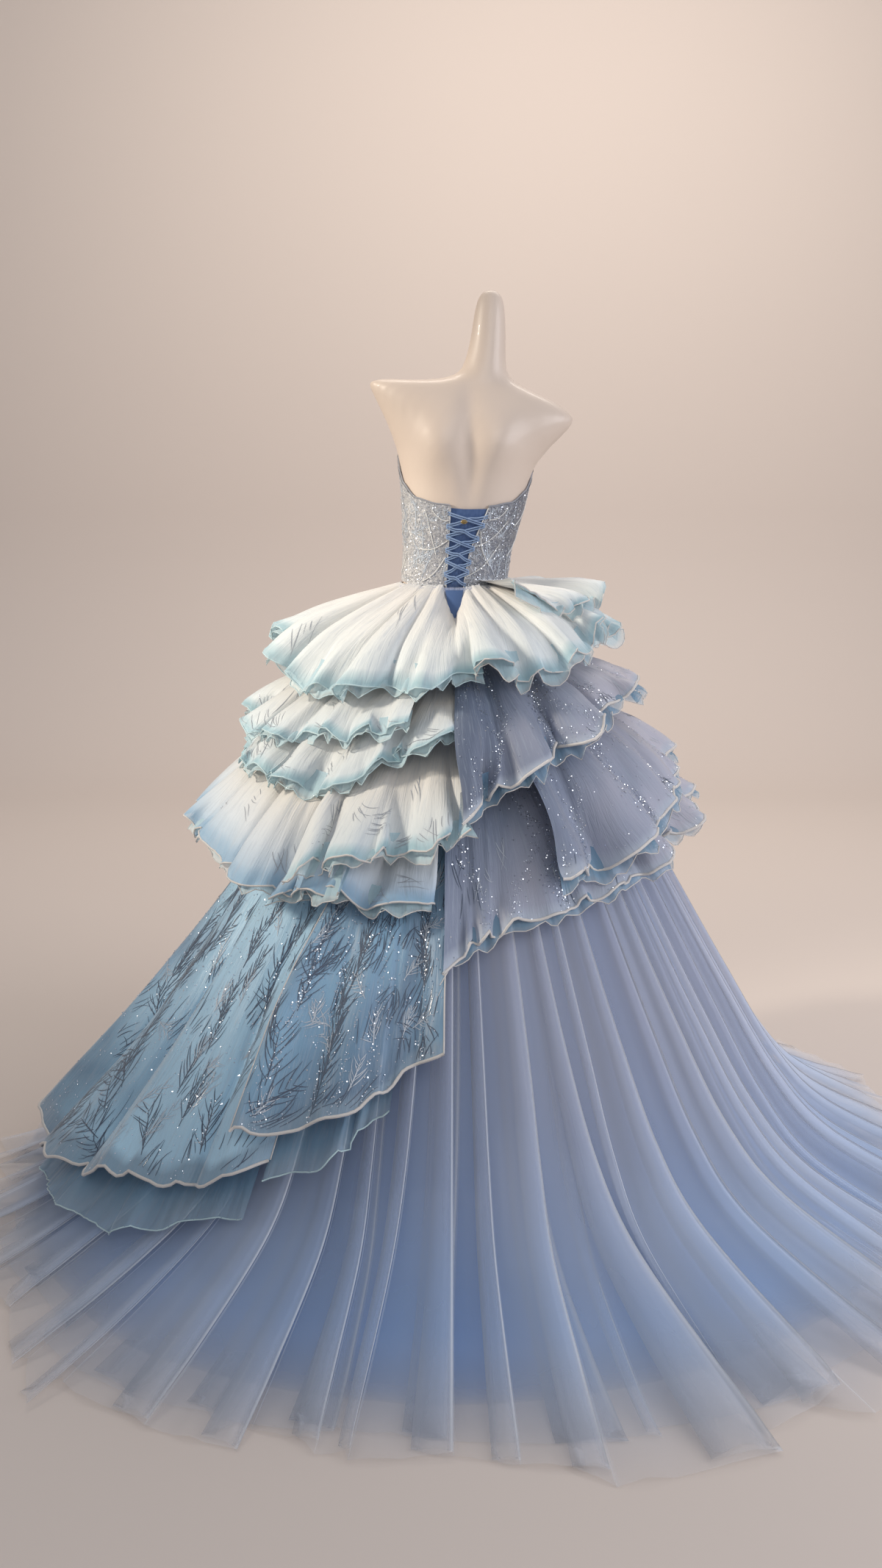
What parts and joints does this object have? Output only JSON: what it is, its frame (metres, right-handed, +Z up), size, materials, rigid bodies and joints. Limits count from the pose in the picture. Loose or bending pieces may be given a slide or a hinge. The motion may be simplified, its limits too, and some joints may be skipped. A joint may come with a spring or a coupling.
{
  "type": "ball gown on dress form",
  "caption": "Strapless ball gown with a laced back, ruffled tiers over long embroidered panels and a wide tulle train, worn by a limbless dress form on a pole stand.",
  "frame": {"origin": "centre of the underside of the stand's round base, on the floor, under the gown's waist", "axes": "+Z up; -Y out of the gown's laced back, towards the train; +Y out of its front; +X towards the wearer's right side"},
  "size_m": [1.9651, 2.0611, 1.75],
  "materials": {
    "form_shell": "smooth, satin",
    "stand_steel": "brushed",
    "corset_lace": "silvery lace over satin",
    "corset_blue": "satin",
    "corset_binding": "narrow dark piping",
    "satin_cord": "satin cord",
    "amber_bead": "faceted, glossy",
    "underskirt": "satin",
    "tulle_inner": "sheer tulle",
    "tulle_outer": "sheer tulle",
    "organza": "crisp organza",
    "panel_blue": "embroidered, with silver glitter",
    "tier_grey": "organza with silver glitter",
    "tier_white": "crinkled chiffon",
    "peplum_white": "crinkled chiffon"
  },
  "bodies": {
    "root": {"form_torso": "form_shell", "stand_pole": "stand_steel", "stand_collar": "stand_steel", "stand_base": "stand_steel", "bodice_back_left": "corset_lace", "bodice_back_right": "corset_lace", "bodice_side_left": "corset_lace", "bodice_side_right": "corset_lace", "bodice_front_left": "corset_lace", "bodice_front_right": "corset_lace", "bodice_front_centre": "corset_lace", "modesty_panel": "corset_blue", "basque_point": "corset_blue", "binding_left": "corset_binding", "binding_right": "corset_binding", "lace_left": "satin_cord", "lace_right": "satin_cord", "lacing_bead": "amber_bead", "peplum_left": "peplum_white", "peplum_right": "peplum_white", "peplum_frill": "peplum_white", "tier2_left": "tier_white", "tier2_left_frill": "tier_white", "tier2_right": "tier_grey", "tier3_left": "tier_white", "tier3_left_frill": "tier_white", "tier3_right": "tier_grey", "tier4_left": "tier_white", "tier4_right": "tier_grey", "train_panel": "panel_blue", "train_panel_underlay": "organza", "cascade_panel": "panel_blue", "cascade_underlay": "organza", "tulle_outer_back_left": "tulle_outer", "tulle_outer_back_right": "tulle_outer", "tulle_outer_front_right": "tulle_outer", "tulle_outer_front_left": "tulle_outer", "tulle_inner_back_left": "tulle_inner", "tulle_inner_back_right": "tulle_inner", "tulle_inner_front_right": "tulle_inner", "tulle_inner_front_left": "tulle_inner", "underskirt_back_left": "underskirt", "underskirt_back_right": "underskirt", "underskirt_front_right": "underskirt", "underskirt_front_left": "underskirt"}
  },
  "joints": []
}
